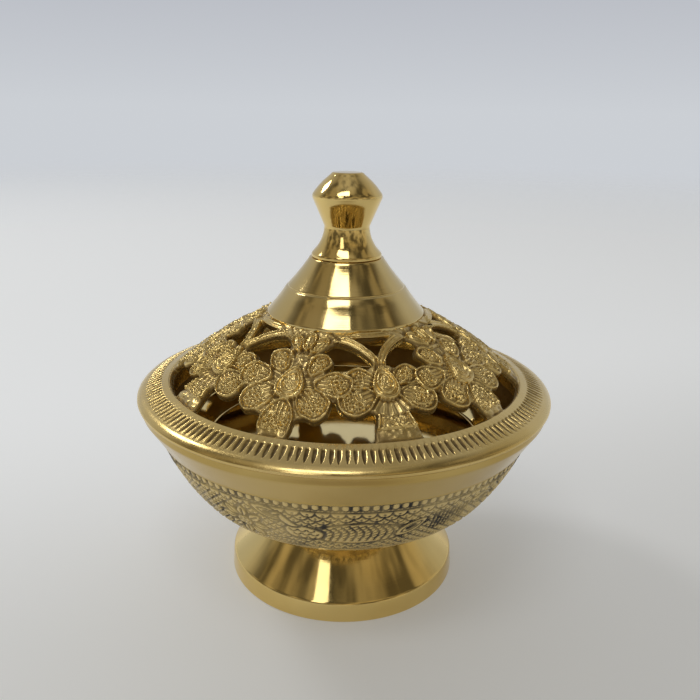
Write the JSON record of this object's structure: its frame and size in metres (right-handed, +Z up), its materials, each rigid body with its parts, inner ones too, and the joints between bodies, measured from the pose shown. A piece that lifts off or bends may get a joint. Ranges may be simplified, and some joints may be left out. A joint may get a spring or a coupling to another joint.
{
  "type": "footed incense burner",
  "caption": "Small footed brass incense burner: round bowl with engraved band, loose inner charcoal dish and a lift-off pierced dome lid with conical spire and turned knob.",
  "frame": {"origin": "centre of the ring that the foot stands on", "axes": "+Z up along the axis of the bowl, lid and knob; the open side of the vents repeats about +Z and no side is the front"},
  "size_m": [0.1, 0.1, 0.1002],
  "materials": {
    "foot_brass": "polished",
    "bowl_brass": "satin, engraved, dark residue in the engraving",
    "dish_brass": "polished",
    "lid_brass": "cast, brushed on the high spots",
    "spire_brass": "satin, turned",
    "knob_brass": "turned, bright",
    "fastener_steel": "zinc plated"
  },
  "bodies": {
    "base": {"foot": "foot_brass", "bowl": "bowl_brass", "foot_bolt": "fastener_steel", "foot_washer": "fastener_steel", "foot_nut": "fastener_steel"},
    "dish": {"charcoal_dish": "dish_brass"},
    "lid": {"lid_dome": "lid_brass", "spire_cone": "spire_brass", "finial_knob": "knob_brass", "finial_rod": "fastener_steel", "finial_washer": "fastener_steel", "finial_nut": "fastener_steel"}
  },
  "joints": [
    {"name": "lid_lift", "type": "slide", "parent": "base", "child": "lid", "axis": [0, 0, 1], "range_m": [0, 0.08]},
    {"name": "dish_lift", "type": "slide", "parent": "base", "child": "dish", "axis": [0, 0, 1], "range_m": [0, 0.04]}
  ],
  "couplings": [
    {"joint": "dish_lift", "follows": "lid_lift", "ratio": 0.5}
  ]
}
